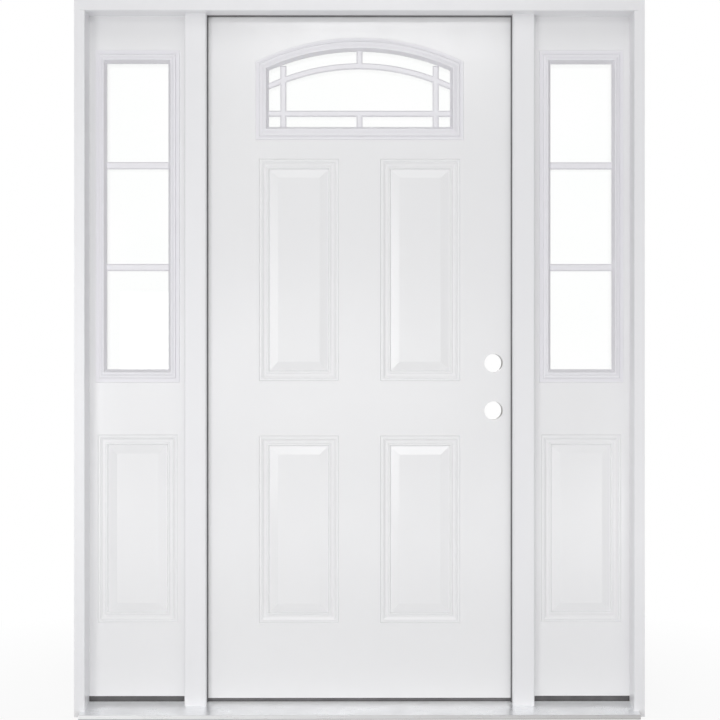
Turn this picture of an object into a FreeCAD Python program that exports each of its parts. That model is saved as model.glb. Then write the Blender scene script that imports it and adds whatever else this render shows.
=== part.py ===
import FreeCAD, Part
import os
import re
import Sketcher
from FreeCAD import Placement, Rotation, Vector

# Prehung entry door with a fixed sidelight on each side, in millimetres.
# X runs left to right as seen from outside, Y runs into the house, Z is up.
# Y = 0 is the outside face of the frame, Z = 0 the underside of the sill.

SIZES = [
    # whole unit
    ("unit_height", "2067"),
    ("jamb_depth", "116"),
    ("board_thick", "17.5"),
    ("stop_width", "13"),
    ("post_thick", "37"),
    ("side_width", "309"),
    ("edge_ease", "2"),
    ("post_setback", "38"),
    ("post_ease", "4"),
    ("strip_thick", "7"),
    ("strip_lap", "3"),
    # door slab
    ("door_width", "907"),
    ("door_thick", "44.5"),
    ("door_gap", "5.5"),
    ("edge_bevel", "2.8"),
    ("seal_gap", "5"),
    ("sweep_height", "5"),
    ("sweep_inset", "2.5"),
    ("skin_thick", "0.8"),
    ("stile_width", "30"),
    ("rail_height", "34"),
    ("block_width", "95"),
    ("block_height", "380"),
    # sill
    ("sill_nose", "30"),
    ("sill_lip", "12.5"),
    ("deck_rise", "16"),
    ("deck_thick", "2.5"),
    ("core_top", "16"),
    ("base_height", "15.8"),
    ("base_inset", "2.5"),
    # raised panels: where they lie
    ("panel_half", "117"),
    ("panel_centre", "178"),
    ("bottom_space", "219.5"),
    ("lower_height", "549.5"),
    ("lock_space", "160"),
    ("under_lite", "54.7"),
    ("side_bottom_space", "215.8"),
    ("side_panel_height", "550.5"),
    # raised panels: moulding, distance in from the edge and depth
    ("cove_depth", "3.5"),
    ("step_depth", "6"),
    ("bead_depth", "3.5"),
    ("quirk_depth", "8"),
    ("field_depth", "2.5"),
    ("cove_width", "9"),
    ("step_width", "13"),
    ("bead_width", "6"),
    ("quirk_width", "5"),
    ("bevel_width", "23"),
    # arched lite of the door
    ("lite_half", "305.2"),
    ("lite_radius", "700.7"),
    ("apex_space", "70.2"),
    ("lite_drop", "369.8"),
    ("lite_rim", "39"),
    ("lite_cover", "27"),
    ("glass_bite", "10"),
    ("glass_thick", "25"),
    ("seat_gap", "1"),
    ("rim_step", "3"),
    ("rim_crown", "9"),
    ("rim_drop", "4"),
    ("rim_edge", "1"),
    ("rim_groove_in", "6.5"),
    ("rim_groove_width", "4"),
    ("rim_groove_floor", "1.5"),
    ("rim_cove", "5.2"),
    ("bar_width", "18"),
    ("bar_thick", "6"),
    ("bar_bevel", "3.5"),
    ("arch_bar_offset", "82"),
    ("side_bar_offset", "81.5"),
    ("cross_bar_offset", "78"),
    # sidelight lites
    ("side_lite_margin", "31.5"),
    ("side_panel_margin", "37.5"),
    ("side_lite_space", "152.4"),
    ("side_lite_top", "112.3"),
    ("side_rim", "33"),
    ("end_rim", "38.9"),
    ("side_cover", "21"),
    ("side_bar_width", "21"),
    # lock bores
    ("bore_radius", "27"),
    ("backset", "60.3"),
    ("bore_spacing", "139.7"),
    ("knob_height", "842"),
    ("latch_radius", "12.7"),
    # hinges
    ("leaf_thick", "2.5"),
    ("leaf_height", "101.6"),
    ("leaf_reach", "32"),
    ("pin_radius", "3"),
    ("pin_play", "0.05"),
    ("pin_out", "8"),
    ("knuckle_gap", "0.4"),
    ("top_hinge", "229"),
    ("bottom_hinge", "331"),
    # places that follow from the sizes above
    ("panel_front", "=jamb_depth - door_thick"),
    ("stop_end", "=panel_front - seal_gap - strip_thick"),
    ("slab_half", "=door_width / 2"),
    ("open_half", "=slab_half + door_gap"),
    ("post_half", "=open_half + post_thick"),
    ("board_half", "=post_half + side_width"),
    ("stop_half", "=board_half - stop_width"),
    ("outer_half", "=board_half + board_thick"),
    ("rabbet_top", "=unit_height - board_thick"),
    ("head_under", "=rabbet_top - stop_width"),
    ("deck_top", "=sill_lip + deck_rise"),
    ("deck_slope", "=deck_rise / (panel_front + sill_nose)"),
    ("base_top", "=deck_top + base_height"),
    ("door_bottom", "=deck_top + seal_gap + sweep_height"),
    ("door_top", "=rabbet_top - door_gap"),
    ("side_centre", "=(board_half + post_half) / 2"),
    ("lower_low", "=door_bottom + bottom_space"),
    ("lower_high", "=lower_low + lower_height"),
    ("upper_low", "=lower_high + lock_space"),
    ("lite_low", "=door_top - lite_drop"),
    ("upper_high", "=lite_low - under_lite"),
    ("lite_centre", "=door_top - apex_space - lite_radius"),
    ("side_low", "=base_top + side_bottom_space"),
    ("side_high", "=side_low + side_panel_height"),
    ("side_lite_low", "=side_high + side_lite_space"),
    ("side_lite_high", "=rabbet_top - side_lite_top"),
    ("side_lite_half", "=side_width / 2 - side_lite_margin"),
    ("side_panel_half", "=side_width / 2 - side_panel_margin"),
    ("glass_front", "=panel_front + (door_thick - glass_thick) / 2"),
    ("glass_back", "=glass_front + glass_thick"),
    ("step_in", "=cove_width + step_width"),
    ("bead_in", "=step_in + bead_width"),
    ("quirk_in", "=bead_in + quirk_width"),
    ("field_in", "=quirk_in + bevel_width"),
    ("knob_bore_level", "=door_bottom + knob_height"),
    ("bolt_bore_level", "=knob_bore_level + bore_spacing"),
    ("bore_across", "=slab_half - backset"),
    ("pin_across", "=-slab_half - door_gap / 2"),
    ("pin_along", "=jamb_depth + pin_out"),
    ("barrel_radius", "=door_gap / 2 + leaf_thick"),
]

document = FreeCAD.newDocument("door_with_sidelights")
sheet = document.addObject("Spreadsheet::Sheet", "Sizes")
for row, (size_name, size_text) in enumerate(SIZES, start=1):
    sheet.set("A%d" % row, size_name)
    sheet.set("B%d" % row, size_text)
    sheet.setAlias("B%d" % row, size_name)
document.recompute()

SIZE_NAMES = re.compile(r"\b(" + "|".join(name for name, text in SIZES) + r")\b")
PLANES = {"plan": "XY_Plane", "front": "XZ_Plane", "side": "YZ_Plane"}
nodes = {}


def linked(text):
    """Turns names of sizes into references to the sheet."""
    return SIZE_NAMES.sub(r"Sizes.\1", text)


def value(text):
    """Works out an expression of the sheet's sizes."""
    return float(sheet.evalExpression(text))


def new_body(name):
    """Starts the body of one sub-part, whose label names its file."""
    body = document.addObject("PartDesign::Body", name)
    body.Label = name
    nodes[name] = body
    return body


def pin_down(drawing, line, direction, text):
    """Fixes one coordinate of a line's start, from the sheet's sizes."""
    number = value(text)
    axis = {"DistanceX": -2, "DistanceY": -1}[direction]
    if abs(number) < 1e-9:
        drawing.addConstraint(Sketcher.Constraint("PointOnObject", line, 1, axis))
        return
    if number > 0:
        index = drawing.addConstraint(Sketcher.Constraint(direction, -1, 1, line, 1, number))
        drawing.setExpression("Constraints[%d]" % index, linked(text))
    else:
        index = drawing.addConstraint(Sketcher.Constraint(direction, line, 1, -1, 1, -number))
        drawing.setExpression("Constraints[%d]" % index, linked("-(%s)" % text))


def arc_between(start, end, radius):
    """An arc that bulges away from the middle of an anticlockwise outline."""
    half = (end - start) * 0.5
    inward = Vector(-half.y, half.x, 0)
    inward.normalize()
    centre = start + half + inward * (radius ** 2 - half.Length ** 2) ** 0.5
    first = Vector(1, 0, 0).getAngle(start - centre)
    last = Vector(1, 0, 0).getAngle(end - centre)
    circle = Part.Circle(centre, Vector(0, 0, 1), radius)
    return Part.ArcOfCircle(circle, first, last)


def draw_outline(drawing, outline):
    """Draws a closed outline; a corner with a third entry starts an arc of that radius."""
    first = drawing.GeometryCount
    count = len(outline)
    corners = [Vector(value(corner[0]), value(corner[1]), 0) for corner in outline]
    for index, corner in enumerate(outline):
        start = corners[index]
        end = corners[(index + 1) % count]
        if len(corner) == 3:
            drawing.addGeometry(arc_between(start, end, value(corner[2])), False)
        else:
            drawing.addGeometry(Part.LineSegment(start, end), False)
    for index in range(count):
        following = first + (index + 1) % count
        drawing.addConstraint(Sketcher.Constraint("Coincident", first + index, 2, following, 1))
    for index, corner in enumerate(outline):
        pin_down(drawing, first + index, "DistanceX", corner[0])
        pin_down(drawing, first + index, "DistanceY", corner[1])
        if len(corner) == 3:
            radius = Sketcher.Constraint("Radius", first + index, value(corner[2]))
            number = drawing.addConstraint(radius)
            drawing.setExpression("Constraints[%d]" % number, linked(corner[2]))


def draw_circle(drawing, across, along, radius):
    """Draws a circle placed and sized from the sheet."""
    centre = Vector(value(across), value(along), 0)
    circle = Part.Circle(centre, Vector(0, 0, 1), value(radius))
    line = drawing.addGeometry(circle, False)
    for direction, text in (("DistanceX", across), ("DistanceY", along)):
        number = value(text)
        sign = "" if number > 0 else "-"
        ends = (-1, 1, line, 3) if number > 0 else (line, 3, -1, 1)
        index = drawing.addConstraint(Sketcher.Constraint(direction, *ends, abs(number)))
        drawing.setExpression("Constraints[%d]" % index, linked("%s(%s)" % (sign, text)))
    index = drawing.addConstraint(Sketcher.Constraint("Radius", line, value(radius)))
    drawing.setExpression("Constraints[%d]" % index, linked(radius))


def new_sketch(body, name, plane, place):
    """Starts a sketch parallel to one of the body's own planes, at a place along its normal."""
    drawing = body.newObject("Sketcher::SketchObject", name)
    support = [item for item in body.Origin.OriginFeatures if item.Role == PLANES[plane]][0]
    drawing.AttachmentSupport = [(support, "")]
    drawing.MapMode = "FlatFace"
    offset = "-(%s)" % place if plane == "front" else place
    drawing.AttachmentOffset = Placement(Vector(0, 0, value(offset)), Rotation())
    drawing.setExpression("AttachmentOffset.Base.z", linked(offset))
    return drawing


def solid(body, name, plane, outlines, low, high):
    """Adds the outlines' solid between two places along the plane's axis."""
    drawing = new_sketch(body, name + "_sketch", plane, high if plane == "front" else low)
    for outline in outlines:
        draw_outline(drawing, outline)
    document.recompute()
    pad = body.newObject("PartDesign::Pad", name)
    pad.Profile = drawing
    pad.setExpression("Length", linked("(%s) - (%s)" % (high, low)))
    body.Tip = pad
    document.recompute()
    return pad


def finish_cut(body, cut, before):
    """Makes sure that a cut has taken something away."""
    body.Tip = cut
    document.recompute()
    if body.Shape.Volume > before - 1e-3:
        raise RuntimeError("%s takes nothing from %s" % (cut.Name, body.Name))
    return cut


def hollow(body, name, plane, outlines, low, high):
    """Cuts the outlines' shape away between two places along the plane's axis."""
    before = body.Shape.Volume
    drawing = new_sketch(body, name + "_sketch", plane, low if plane == "front" else high)
    for outline in outlines:
        draw_outline(drawing, outline)
    document.recompute()
    pocket = body.newObject("PartDesign::Pocket", name)
    pocket.Profile = drawing
    pocket.setExpression("Length", linked("(%s) - (%s)" % (high, low)))
    return finish_cut(body, pocket, before)


def round_bar(body, name, plane, across, along, radius, low, high):
    """Adds a round bar between two places along the plane's axis."""
    drawing = new_sketch(body, name + "_sketch", plane, high if plane == "front" else low)
    draw_circle(drawing, across, along, radius)
    document.recompute()
    pad = body.newObject("PartDesign::Pad", name)
    pad.Profile = drawing
    pad.setExpression("Length", linked("(%s) - (%s)" % (high, low)))
    body.Tip = pad
    document.recompute()
    return pad


def round_hole(body, name, plane, across, along, radius, low, high):
    """Cuts a round hole between two places along the plane's axis."""
    before = body.Shape.Volume
    drawing = new_sketch(body, name + "_sketch", plane, low if plane == "front" else high)
    draw_circle(drawing, across, along, radius)
    document.recompute()
    pocket = body.newObject("PartDesign::Pocket", name)
    pocket.Profile = drawing
    pocket.setExpression("Length", linked("(%s) - (%s)" % (high, low)))
    return finish_cut(body, pocket, before)


def box(left, right, low, high):
    """A rectangle's outline."""
    return [(left, low), (right, low), (right, high), (left, high)]


def signed(side, text):
    """Puts a distance from the middle on the left or the right."""
    return "-(%s)" % text if side == "left" else "(%s)" % text


def span(side, inner, outer):
    """The lower and the higher place between two distances from the middle."""
    if side == "left":
        return "-(%s)" % outer, "-(%s)" % inner
    return "(%s)" % inner, "(%s)" % outer


def emboss(body, name, centre, half, low, high, face):
    """Presses one raised panel, with its cove, bead and bevel, into a face of a slab."""
    place, way = {"outside": ("panel_front", "+"), "inside": ("jamb_depth", "-")}[face]
    path = new_sketch(body, name + "_path", "front", place)
    left = "%s - %s" % (centre, half)
    right = "%s + %s" % (centre, half)
    draw_outline(path, box(left, right, low, high))
    section = new_sketch(body, name + "_section", "side", centre)
    profile = [
        ("0", "0"),
        ("cove_depth", "cove_width * 0.25"),
        ("cove_depth", "cove_width * 0.75"),
        ("cove_depth * 0.6", "cove_width"),
        ("step_depth", "cove_width + step_width * 0.5"),
        ("step_depth", "step_in"),
        ("bead_depth", "step_in + bead_width * 0.35"),
        ("bead_depth", "bead_in"),
        ("quirk_depth", "bead_in + quirk_width * 0.5"),
        ("quirk_depth", "quirk_in"),
        ("field_depth", "field_in"),
        ("0", "field_in"),
    ]
    outline = []
    for depth, inward in profile:
        outline.append(("%s %s %s" % (place, way, depth), "%s + %s" % (low, inward)))
    draw_outline(section, outline)
    document.recompute()
    before = body.Shape.Volume
    moulding = body.newObject("PartDesign::SubtractivePipe", name + "_moulding")
    moulding.Profile = section
    moulding.Spine = (path, [])
    moulding.Transition = "Right corner"
    finish_cut(body, moulding, before)
    field = box(left + " + field_in", right + " - field_in", low + " + field_in", high + " - field_in")
    ends = [place, "%s %s field_depth" % (place, way)]
    if way == "-":
        ends.reverse()
    hollow(body, name + "_field", "front", [field], *ends)


def arched(inset):
    """The arched lite's outline, a distance in from its frame's outer edge."""
    half = "(lite_half - (%s))" % inset
    radius = "(lite_radius - (%s))" % inset
    spring = "lite_centre + sqrt(%s ^ 2 - %s ^ 2)" % (radius, half)
    low = "lite_low + %s" % inset
    return [("-" + half, low), (half, low), (half, spring, radius), ("-" + half, spring)]


def tall(side, inset, end_inset):
    """A sidelight's lite outline, in from its frame's outer edges."""
    centre = signed(side, "side_centre")
    left = "%s - (side_lite_half - (%s))" % (centre, inset)
    right = "%s + (side_lite_half - (%s))" % (centre, inset)
    return box(left, right, "side_lite_low + %s" % end_inset, "side_lite_high - (%s)" % end_inset)


def soften_bars(body, name, at_end):
    """Bevels a grille's front edges, leaving the ends that butt against the frame square."""
    level = value("glass_front - bar_thick")
    base = body.Tip
    names = []
    for index, edge in enumerate(base.Shape.Edges):
        flat = all(abs(vertex.Y - level) < 1e-6 for vertex in edge.Vertexes)
        if flat and not at_end(edge):
            names.append("Edge%d" % (index + 1))
    bevel = body.newObject("PartDesign::Chamfer", name)
    bevel.Base = (base, names)
    bevel.setExpression("Size", linked("bar_bevel"))
    body.Tip = bevel
    document.recompute()
    return bevel


def loft(body, name, kind, rings, face):
    """Joins outlines at different heights above a face with flat and conical walls."""
    place, way = {"outside": ("panel_front", "-"), "inside": ("jamb_depth", "+")}[face]
    before = body.Shape.Volume if kind == "PartDesign::SubtractiveLoft" else 0.0
    drawings = []
    for number, (outline, height) in enumerate(rings):
        drawing = new_sketch(body, "%s_ring_%d" % (name, number), "front", "%s %s (%s)" % (place, way, height))
        draw_outline(drawing, outline)
        drawings.append(drawing)
    document.recompute()
    shape = body.newObject(kind, name)
    shape.Profile = drawings[0]
    shape.Sections = drawings[1:]
    shape.Ruled = True
    body.Tip = shape
    document.recompute()
    if kind == "PartDesign::SubtractiveLoft":
        finish_cut(body, shape, before)
    return shape


def lite_frame(name, face, outline, rim, cover):
    """One half of a lite's frame: a moulded flange on the slab's face and a throat to the glass."""
    body = new_body(name)
    place, way = {"outside": ("panel_front", "-"), "inside": ("jamb_depth", "+")}[face]
    depth = "(door_thick - glass_thick) / 2"
    additive = "PartDesign::AdditiveLoft"
    loft(body, name + "_step", additive, [(outline("0"), "0"), (outline("rim_edge"), "rim_step")], face)
    cove = "rim_groove_in + rim_groove_width"
    lip = "(%s) - (rim_crown + rim_drop) * 0.6" % rim
    crown = "(%s) - rim_step" % lip
    rings = [
        (outline(cove), "rim_step"),
        (outline(cove + " + rim_step - rim_edge"), "rim_cove"),
        (outline("(%s + %s) / 2" % (cove, crown)), "rim_cove + rim_edge * 0.5"),
        (outline(crown), "rim_crown"),
    ]
    loft(body, name + "_crown", additive, rings, face)
    ends = [place, "%s %s (%s)" % (place, {"-": "+", "+": "-"}[way], depth)]
    if face == "inside":
        ends.reverse()
    solid(body, name + "_throat", "front", [outline("%s + seat_gap" % cover)], *ends)
    rings = [(outline(lip), "rim_crown"), (outline(rim), "-rim_drop")]
    loft(body, name + "_lip", "PartDesign::SubtractiveLoft", rings, face)
    ends = ["%s %s -(rim_drop)" % (place, way), "%s %s (-(%s) - 1)" % (place, way, depth)]
    if face == "inside":
        ends.reverse()
    hollow(body, name + "_sight", "front", [outline(rim)], *ends)
    ends = ["%s %s rim_groove_floor" % (place, way), "%s %s (rim_crown + 5)" % (place, way)]
    if face == "outside":
        ends.reverse()
    hollow(body, name + "_groove", "front", [outline(cove), outline("rim_groove_in")], *ends)
    return body


# frame boards
for side in ("left", "right"):
    jamb = new_body(side + "_jamb")
    outer = signed(side, "outer_half")
    board = signed(side, "board_half")
    stop = signed(side, "stop_half")
    eased = signed(side, "stop_half + edge_ease")
    outline = [(outer, "0"), (eased, "0"), (stop, "edge_ease"), (stop, "panel_front")]
    outline += [(board, "panel_front"), (board, "jamb_depth"), (outer, "jamb_depth")]
    solid(jamb, side + "_jamb_board", "plan", [outline], "0", "unit_height")
    wedge = [("-5", "-5"), ("panel_front", "-5"), ("panel_front", "deck_top")]
    wedge += [("-5", "sill_lip + deck_slope * (sill_nose - 5)")]
    hollow(jamb, side + "_jamb_cope", "side", [wedge], *span(side, "stop_half", "board_half"))
    notch = box("-5", "panel_front", "head_under", "unit_height + 5")
    hollow(jamb, side + "_jamb_notch", "side", [notch], *span(side, "stop_half", "board_half"))

    post = new_body(side + "_mullion")
    far_stop = signed(side, "post_half + stop_width")
    far = signed(side, "post_half")
    near = signed(side, "open_half")
    near_stop = signed(side, "open_half - stop_width")
    far_ease = signed(side, "post_half + stop_width - edge_ease")
    near_ease = signed(side, "open_half - stop_width + post_ease")
    outline = [(far_stop, "post_setback + edge_ease"), (far_ease, "post_setback")]
    outline += [(near_ease, "post_setback"), (near_stop, "post_setback + post_ease")]
    outline += [(near_stop, "stop_end"), (near, "stop_end"), (near, "jamb_depth")]
    outline += [(far, "jamb_depth"), (far, "panel_front"), (far_stop, "panel_front")]
    solid(post, side + "_mullion_post", "plan", [outline], "core_top", "rabbet_top")
    ends = span(side, "open_half - stop_width - 5", "post_half + stop_width + 5")
    wedge = [("post_setback - 5", "core_top - 5"), ("panel_front", "core_top - 5")]
    wedge += [("panel_front", "deck_top")]
    wedge += [("post_setback - 5", "sill_lip + deck_slope * (sill_nose + post_setback - 5)")]
    hollow(post, side + "_mullion_cope", "side", [wedge], *ends)
    notch = box("post_setback - 5", "panel_front", "head_under", "rabbet_top + 5")
    hollow(post, side + "_mullion_notch", "side", [notch], *ends)

head = new_body("head_jamb")
outline = [("0", "head_under + edge_ease"), ("edge_ease", "head_under")]
outline += [("panel_front", "head_under"), ("panel_front", "rabbet_top")]
outline += [("jamb_depth", "rabbet_top"), ("jamb_depth", "unit_height"), ("0", "unit_height")]
solid(head, "head_board", "side", [outline], "-board_half", "board_half")
rabbet = box("-open_half", "open_half", "head_under - 5", "rabbet_top")
hollow(head, "head_rabbet", "front", [rabbet], "stop_end", "panel_front")

# sill
deck = new_body("sill_deck")
under_nose = "sill_lip + deck_slope * deck_thick - deck_thick"
outline = [("-sill_nose", "0"), ("deck_thick - sill_nose", "0"), ("deck_thick - sill_nose", under_nose)]
outline += [("panel_front", "deck_top - deck_thick"), ("panel_front", "deck_top")]
outline += [("-sill_nose", "sill_lip")]
solid(deck, "sill_deck_sheet", "side", [outline], "-board_half", "board_half")

core = new_body("sill_core")
outline = [("deck_thick - sill_nose", "0"), ("jamb_depth", "0"), ("jamb_depth", "core_top")]
outline += [("panel_front", "core_top"), ("panel_front", "deck_top - deck_thick")]
outline += [("deck_thick - sill_nose", under_nose)]
solid(core, "sill_core_block", "side", [outline], "-board_half", "board_half")

cap = new_body("threshold_cap")
outline = [("panel_front", "core_top"), ("jamb_depth", "core_top")]
outline += [("jamb_depth", "deck_top - edge_ease"), ("jamb_depth - edge_ease * 2", "deck_top")]
outline += [("panel_front + edge_ease", "deck_top"), ("panel_front", "deck_top - edge_ease * 0.5")]
solid(cap, "threshold_cap_block", "side", [outline], "-open_half", "open_half")

for side in ("left", "right"):
    base = new_body(side + "_sidelight_base")
    outline = [("panel_front", "core_top"), ("jamb_depth", "core_top"), ("jamb_depth", "base_top")]
    outline += [("panel_front + base_inset", "base_top"), ("panel_front + base_inset", "deck_top")]
    outline += [("panel_front", "deck_top")]
    ends = span(side, "post_half", "board_half")
    solid(base, side + "_sidelight_base_block", "side", [outline], *ends)

# weatherstrip round the doorway
strip_low = "rabbet_top - stop_width - strip_lap"
for side, name in (("left", "hinge_side_weatherstrip"), ("right", "latch_side_weatherstrip")):
    strip = new_body(name)
    ends = span(side, "open_half - stop_width - strip_lap", "open_half")
    outline = box(ends[0], ends[1], "stop_end", "stop_end + strip_thick")
    solid(strip, name + "_strip", "plan", [outline], "deck_top", strip_low)
strip = new_body("head_weatherstrip")
outline = box("stop_end", "stop_end + strip_thick", strip_low, "rabbet_top")
solid(strip, "head_weatherstrip_strip", "side", [outline], "-open_half", "open_half")

HINGES = (
    ("upper", "door_top - top_hinge"),
    ("middle", "(door_top - top_hinge + door_bottom + bottom_hinge) / 2"),
    ("lower", "door_bottom + bottom_hinge"),
)

# door slab: pressed skins on stiles, rails, a lock block and a foam core
form = new_body("slab_form")
del nodes["slab_form"]
outline = box("-slab_half", "slab_half", "panel_front", "jamb_depth")
solid(form, "slab_form_block", "plan", [outline], "door_bottom", "door_top")
for face in ("outside", "inside"):
    for side in ("left", "right"):
        centre = signed(side, "panel_centre")
        emboss(form, "%s_%s_upper" % (side, face), centre, "panel_half", "upper_low", "upper_high", face)
        emboss(form, "%s_%s_lower" % (side, face), centre, "panel_half", "lower_low", "lower_high", face)
hollow(form, "lite_opening", "front", [arched("lite_cover")], "panel_front - 5", "jamb_depth + 5")


def tool_body(name):
    """Starts a body that only cuts others and isn't a sub-part."""
    body = new_body(name)
    del nodes[name]
    return body


def shifted_form(name, distance):
    """The pressed form moved through the slab's thickness."""
    copy = document.addObject("Part::Compound", name)
    copy.Links = [form]
    copy.Placement = Placement(Vector(0, value(distance), 0), Rotation())
    copy.setExpression("Placement.Base.y", linked(distance))
    document.recompute()
    return copy


def combine(kind, name, base, tool):
    """A boolean of two objects."""
    result = document.addObject(kind, name)
    result.Base = base
    result.Tool = tool
    document.recompute()
    return result


bores = tool_body("lock_bores")
for name, level in (("knob_bore", "knob_bore_level"), ("bolt_bore", "bolt_bore_level")):
    round_bar(bores, name, "front", "bore_across", level, "bore_radius", "panel_front - 5", "jamb_depth + 5")
    middle = "panel_front + door_thick / 2"
    round_bar(bores, name + "_latch", "side", middle, level, "latch_radius", "bore_across", "slab_half + 5")
plate = box("bore_across - latch_radius", "bore_across + latch_radius", "knob_bore_level", "bolt_bore_level")
solid(bores, "bore_link", "front", [plate], "panel_front - 10", "panel_front - 5")

bevel = tool_body("latch_bevel")
outline = [("slab_half - edge_bevel", "panel_front"), ("slab_half", "jamb_depth"), ("slab_half", "jamb_depth + 5")]
outline += [("slab_half + 5", "jamb_depth + 5"), ("slab_half + 5", "panel_front - 5")]
outline += [("slab_half - edge_bevel", "panel_front - 5")]
solid(bevel, "latch_bevel_wedge", "plan", [outline], "door_bottom - 5", "door_top + 5")

hinge_beds = tool_body("hinge_beds")
for name, level in HINGES:
    bed = box("-slab_half - 5", "-slab_half + leaf_thick", "jamb_depth - leaf_reach", "jamb_depth + 5")
    ends = ("%s - leaf_height / 2" % level, "%s + leaf_height / 2" % level)
    solid(hinge_beds, name + "_door_bed", "plan", [bed], *ends)
spine = box("-slab_half - 5", "-slab_half - 3", "jamb_depth + 1", "jamb_depth + 5")
solid(hinge_beds, "bed_spine", "plan", [spine], "door_bottom", "door_top")

behind = shifted_form("form_behind", "skin_thick")
before = shifted_form("form_before", "-skin_thick")
for name, tool in (("door_outer_skin", behind), ("door_inner_skin", before)):
    sheet_shape = combine("Part::Cut", name + "_sheet", form, tool)
    bored = combine("Part::Cut", name + "_bored", sheet_shape, bores)
    bedded = combine("Part::Cut", name + "_bedded", bored, hinge_beds)
    skin = combine("Part::Cut", name, bedded, bevel)
    skin.Label = name
    nodes[name] = skin

stile_low = "-slab_half + stile_width"
stile_high = "slab_half - stile_width"
wood_front = "panel_front + skin_thick"
wood_back = "jamb_depth - skin_thick"
beds = tool_body("core_room")
room = box(stile_low, stile_high, "door_bottom + rail_height", "door_top - rail_height")
solid(beds, "core_room_block", "front", [room], "panel_front - 5", "jamb_depth + 5")

blank = combine("Part::Common", "core_blank", behind, before)
filled = combine("Part::Common", "core_filled", blank, beds)
block_room = tool_body("lock_block_room")
block_low = "(knob_bore_level + bolt_bore_level - block_height) / 2"
block_high = "(knob_bore_level + bolt_bore_level + block_height) / 2"
block = box(stile_high + " - block_width", stile_high, block_low, block_high)
solid(block_room, "lock_block_room_block", "front", [block], "panel_front - 5", "jamb_depth + 5")
core_shape = combine("Part::Cut", "door_core", filled, block_room)
core_shape.Label = "door_core"
nodes["door_core"] = core_shape

block_shape = combine("Part::Common", "lock_block_blank", filled, block_room)
lock_block = combine("Part::Cut", "door_lock_block", block_shape, bores)
lock_block.Label = "door_lock_block"
nodes["door_lock_block"] = lock_block

stile = tool_body("hinge_stile_blank")
outline = box("-slab_half", stile_low, wood_front, wood_back)
solid(stile, "hinge_stile_board", "plan", [outline], "door_bottom", "door_top")
hinge_stile = combine("Part::Cut", "door_hinge_stile", stile, hinge_beds)
hinge_stile.Label = "door_hinge_stile"
nodes["door_hinge_stile"] = hinge_stile

stile = tool_body("latch_stile_blank")
outline = box(stile_high, "slab_half", wood_front, wood_back)
solid(stile, "latch_stile_board", "plan", [outline], "door_bottom", "door_top")
bored = combine("Part::Cut", "latch_stile_bored", stile, bores)
latch_stile = combine("Part::Cut", "door_latch_stile", bored, bevel)
latch_stile.Label = "door_latch_stile"
nodes["door_latch_stile"] = latch_stile

for name, low, high in (("door_top_rail", "door_top - rail_height", "door_top"),
                        ("door_bottom_rail", "door_bottom", "door_bottom + rail_height")):
    rail = new_body(name)
    outline = box(stile_low, stile_high, low, high)
    solid(rail, name + "_board", "front", [outline], wood_front, wood_back)

sweep = new_body("door_sweep")
outline = [("-slab_half + sweep_inset", "panel_front + sweep_inset")]
outline += [("slab_half - edge_bevel - sweep_inset", "panel_front + sweep_inset")]
outline += [("slab_half - edge_bevel - sweep_inset", "jamb_depth - sweep_inset")]
outline += [("-slab_half + sweep_inset", "jamb_depth - sweep_inset")]
solid(sweep, "door_sweep_strip", "plan", [outline], "deck_top + seal_gap", "door_bottom")

# arched lite: frame halves, glass and grille
lite_frame("door_lite_outer_frame", "outside", arched, "lite_rim", "lite_cover")
lite_frame("door_lite_inner_frame", "inside", arched, "lite_rim", "lite_cover")
glass = new_body("door_glass")
solid(glass, "door_glass_unit", "front", [arched("lite_rim - glass_bite")], "glass_front", "glass_back")

grille = new_body("door_grille")
front = "glass_front - bar_thick"
sight_low = "lite_low + lite_rim"
outer_arch = "lite_radius - arch_bar_offset + bar_width / 2"
inner_arch = "lite_radius - arch_bar_offset - bar_width / 2"
sight = "(lite_half - lite_rim)"
rise_outer = "lite_centre + sqrt((%s) ^ 2 - %s ^ 2)" % (outer_arch, sight)
rise_inner = "lite_centre + sqrt((%s) ^ 2 - %s ^ 2)" % (inner_arch, sight)
band = [("-" + sight, "lite_low + cross_bar_offset - bar_width / 2")]
band += [(sight, "lite_low + cross_bar_offset - bar_width / 2")]
band += [(sight, rise_outer, outer_arch), ("-" + sight, rise_outer)]
solid(grille, "grille_sheet", "front", [band], front, "glass_front")
inner = "(lite_half - side_bar_offset - bar_width / 2)"
outer = "(lite_half - side_bar_offset + bar_width / 2)"
top_of = "lite_centre + sqrt((%s) ^ 2 - %s ^ 2)"
window = [("-" + inner, "lite_low + cross_bar_offset + bar_width / 2")]
window += [(inner, "lite_low + cross_bar_offset + bar_width / 2")]
window += [(inner, top_of % (inner_arch, inner), inner_arch), ("-" + inner, top_of % (inner_arch, inner))]
hollow(grille, "grille_middle", "front", [window], front + " - 1", "glass_front + 1")
for side in ("left", "right"):
    near = signed(side, outer)
    edge = signed(side, sight + " + 5")
    corners = [(near, "lite_low + cross_bar_offset + bar_width / 2")]
    corners += [(edge, "lite_low + cross_bar_offset + bar_width / 2")]
    corners += [(edge, top_of % (inner_arch, sight)), (near, top_of % (inner_arch, outer))]
    hollow(grille, side + "_grille_window", "front", [corners], front + " - 1", "glass_front + 1")
    posts = box(near, signed(side, inner), "lite_low + lite_rim", "lite_low + cross_bar_offset")
    solid(grille, side + "_grille_foot", "front", [posts], front, "glass_front")
    top_low = top_of % (inner_arch, outer)
    top_high = top_of % ("lite_radius - lite_rim", outer)
    posts = box(near, signed(side, inner), top_low, top_high)
    solid(grille, side + "_grille_head", "front", [posts], front, "glass_front")
stub = box("-bar_width / 2", "bar_width / 2", "lite_low + lite_rim", "lite_low + cross_bar_offset")
solid(grille, "grille_bottom_stub", "front", [stub], front, "glass_front")
stub = box("-bar_width / 2", "bar_width / 2", "lite_centre + lite_radius - arch_bar_offset",
           top_of % ("lite_radius - lite_rim", "bar_width / 2"))
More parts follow.
